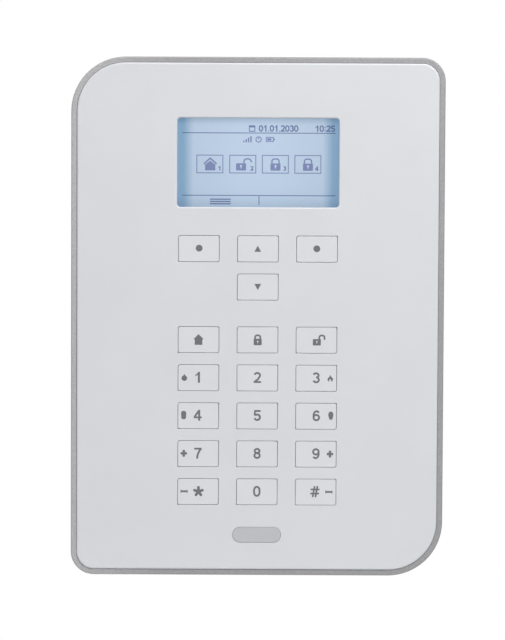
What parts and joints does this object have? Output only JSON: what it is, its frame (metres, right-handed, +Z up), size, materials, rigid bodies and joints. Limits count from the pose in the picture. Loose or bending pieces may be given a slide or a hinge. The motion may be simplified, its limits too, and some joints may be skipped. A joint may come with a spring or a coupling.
{
  "type": "alarm keypad panel",
  "caption": "Wall-mounted alarm control panel: hinged white front with a backlit display and flush push keys in a silver surround, over a wired base with siren, supply and backup battery.",
  "frame": {"origin": "centre of the rear housing's back face, which lies on the wall", "axes": "+X right and +Z up as the panel hangs, +Y into the wall, so the front faces -Y"},
  "size_m": [0.205, 0.05, 0.285],
  "materials": {
    "fascia_white": "satin gloss",
    "key_white": "satin gloss",
    "trim_silver": "satin silver lacquer",
    "inner_white": "matt",
    "housing_white": "fine texture",
    "window_clear": "clear",
    "lcd": "backlit blue",
    "diffuser": "diffusing",
    "steel": "plated",
    "silicone": "matt",
    "board_green": "solder mask",
    "connector": "moulded",
    "chip_black": "moulded",
    "badge_grey": "satin",
    "terminal_green": "moulded",
    "tinned": "tinned",
    "copper": "drawn wire",
    "battery_wrap": "shrink wrap",
    "lead_red": "insulated",
    "supply_black": "fine texture",
    "terminal_white": "moulded",
    "siren_black": "moulded",
    "speaker_black": "cone",
    "rubber_grey": "matt",
    "ribbon_grey": "flat cable",
    "plunger_white": "moulded"
  },
  "bodies": {
    "base": {"rear_housing": "housing_white", "hinge_pins": "steel", "main_board": "board_green", "main_board_screws": "steel", "terminal_blocks": "terminal_green", "network_jack": "tinned", "main_ribbon_socket": "connector", "main_board_parts": "chip_black", "radio_module": "tinned", "antenna": "copper", "battery_pack": "battery_wrap", "battery_strap": "tinned", "battery_lead": "lead_red", "battery_plug": "connector", "power_supply": "supply_black", "mains_terminal": "terminal_white", "siren": "siren_black", "speaker": "speaker_black", "tamper_switch": "chip_black", "tamper_spring": "steel", "cable_grommet": "rubber_grey", "cable_clamp": "inner_white", "clamp_screws": "steel", "ribbon_cable": "ribbon_grey"},
    "cover": {"fascia": "fascia_white", "trim_frame": "trim_silver", "cover_chassis": "inner_white", "display_window": "window_clear", "lcd_shield": "steel", "lcd_glass": "lcd", "lcd_backlight": "diffuser", "key_mat": "silicone", "front_board": "board_green", "front_board_screws": "steel", "front_ribbon_socket": "connector", "front_board_parts": "chip_black", "badge": "badge_grey", "cover_screw": "steel"},
    "plunger": {"tamper_plunger": "plunger_white"},
    "button_left": {"key_left": "key_white"},
    "button_up": {"key_up": "key_white"},
    "button_right": {"key_right": "key_white"},
    "button_down": {"key_down": "key_white"},
    "button_home": {"key_home": "key_white"},
    "button_lock": {"key_lock": "key_white"},
    "button_unlock": {"key_unlock": "key_white"},
    "button_1": {"key_1": "key_white"},
    "button_2": {"key_2": "key_white"},
    "button_3": {"key_3": "key_white"},
    "button_4": {"key_4": "key_white"},
    "button_5": {"key_5": "key_white"},
    "button_6": {"key_6": "key_white"},
    "button_7": {"key_7": "key_white"},
    "button_8": {"key_8": "key_white"},
    "button_9": {"key_9": "key_white"},
    "button_star": {"key_star": "key_white"},
    "button_0": {"key_0": "key_white"},
    "button_hash": {"key_hash": "key_white"}
  },
  "joints": [
    {"name": "cover_hinge", "type": "hinge", "parent": "base", "child": "cover", "pos_m": [-0.1, -0.028, 0], "axis": [0, 0, -1], "range_deg": [0, 105], "deforming": ["ribbon_cable"]},
    {"name": "tamper_plunger_slide", "type": "slide", "parent": "base", "child": "plunger", "axis": [0, -1, 0], "range_m": [0, 0.003], "deforming": ["tamper_spring"]},
    {"name": "key_left_press", "type": "slide", "parent": "cover", "child": "button_left", "axis": [0, 1, 0], "range_m": [0, 0.0008], "stiffness_N_per_m": 500, "springref_m": -0.001, "deforming": ["key_mat"]},
    {"name": "key_up_press", "type": "slide", "parent": "cover", "child": "button_up", "axis": [0, 1, 0], "range_m": [0, 0.0008], "stiffness_N_per_m": 500, "springref_m": -0.001, "deforming": ["key_mat"]},
    {"name": "key_right_press", "type": "slide", "parent": "cover", "child": "button_right", "axis": [0, 1, 0], "range_m": [0, 0.0008], "stiffness_N_per_m": 500, "springref_m": -0.001, "deforming": ["key_mat"]},
    {"name": "key_down_press", "type": "slide", "parent": "cover", "child": "button_down", "axis": [0, 1, 0], "range_m": [0, 0.0008], "stiffness_N_per_m": 500, "springref_m": -0.001, "deforming": ["key_mat"]},
    {"name": "key_home_press", "type": "slide", "parent": "cover", "child": "button_home", "axis": [0, 1, 0], "range_m": [0, 0.0008], "stiffness_N_per_m": 500, "springref_m": -0.001, "deforming": ["key_mat"]},
    {"name": "key_lock_press", "type": "slide", "parent": "cover", "child": "button_lock", "axis": [0, 1, 0], "range_m": [0, 0.0008], "stiffness_N_per_m": 500, "springref_m": -0.001, "deforming": ["key_mat"]},
    {"name": "key_unlock_press", "type": "slide", "parent": "cover", "child": "button_unlock", "axis": [0, 1, 0], "range_m": [0, 0.0008], "stiffness_N_per_m": 500, "springref_m": -0.001, "deforming": ["key_mat"]},
    {"name": "key_1_press", "type": "slide", "parent": "cover", "child": "button_1", "axis": [0, 1, 0], "range_m": [0, 0.0008], "stiffness_N_per_m": 500, "springref_m": -0.001, "deforming": ["key_mat"]},
    {"name": "key_2_press", "type": "slide", "parent": "cover", "child": "button_2", "axis": [0, 1, 0], "range_m": [0, 0.0008], "stiffness_N_per_m": 500, "springref_m": -0.001, "deforming": ["key_mat"]},
    {"name": "key_3_press", "type": "slide", "parent": "cover", "child": "button_3", "axis": [0, 1, 0], "range_m": [0, 0.0008], "stiffness_N_per_m": 500, "springref_m": -0.001, "deforming": ["key_mat"]},
    {"name": "key_4_press", "type": "slide", "parent": "cover", "child": "button_4", "axis": [0, 1, 0], "range_m": [0, 0.0008], "stiffness_N_per_m": 500, "springref_m": -0.001, "deforming": ["key_mat"]},
    {"name": "key_5_press", "type": "slide", "parent": "cover", "child": "button_5", "axis": [0, 1, 0], "range_m": [0, 0.0008], "stiffness_N_per_m": 500, "springref_m": -0.001, "deforming": ["key_mat"]},
    {"name": "key_6_press", "type": "slide", "parent": "cover", "child": "button_6", "axis": [0, 1, 0], "range_m": [0, 0.0008], "stiffness_N_per_m": 500, "springref_m": -0.001, "deforming": ["key_mat"]},
    {"name": "key_7_press", "type": "slide", "parent": "cover", "child": "button_7", "axis": [0, 1, 0], "range_m": [0, 0.0008], "stiffness_N_per_m": 500, "springref_m": -0.001, "deforming": ["key_mat"]},
    {"name": "key_8_press", "type": "slide", "parent": "cover", "child": "button_8", "axis": [0, 1, 0], "range_m": [0, 0.0008], "stiffness_N_per_m": 500, "springref_m": -0.001, "deforming": ["key_mat"]},
    {"name": "key_9_press", "type": "slide", "parent": "cover", "child": "button_9", "axis": [0, 1, 0], "range_m": [0, 0.0008], "stiffness_N_per_m": 500, "springref_m": -0.001, "deforming": ["key_mat"]},
    {"name": "key_star_press", "type": "slide", "parent": "cover", "child": "button_star", "axis": [0, 1, 0], "range_m": [0, 0.0008], "stiffness_N_per_m": 500, "springref_m": -0.001, "deforming": ["key_mat"]},
    {"name": "key_0_press", "type": "slide", "parent": "cover", "child": "button_0", "axis": [0, 1, 0], "range_m": [0, 0.0008], "stiffness_N_per_m": 500, "springref_m": -0.001, "deforming": ["key_mat"]},
    {"name": "key_hash_press", "type": "slide", "parent": "cover", "child": "button_hash", "axis": [0, 1, 0], "range_m": [0, 0.0008], "stiffness_N_per_m": 500, "springref_m": -0.001, "deforming": ["key_mat"]}
  ],
  "couplings": [
    {"joint": "tamper_plunger_slide", "follows": "cover_hinge", "m_per_rad": 0.001636}
  ]
}
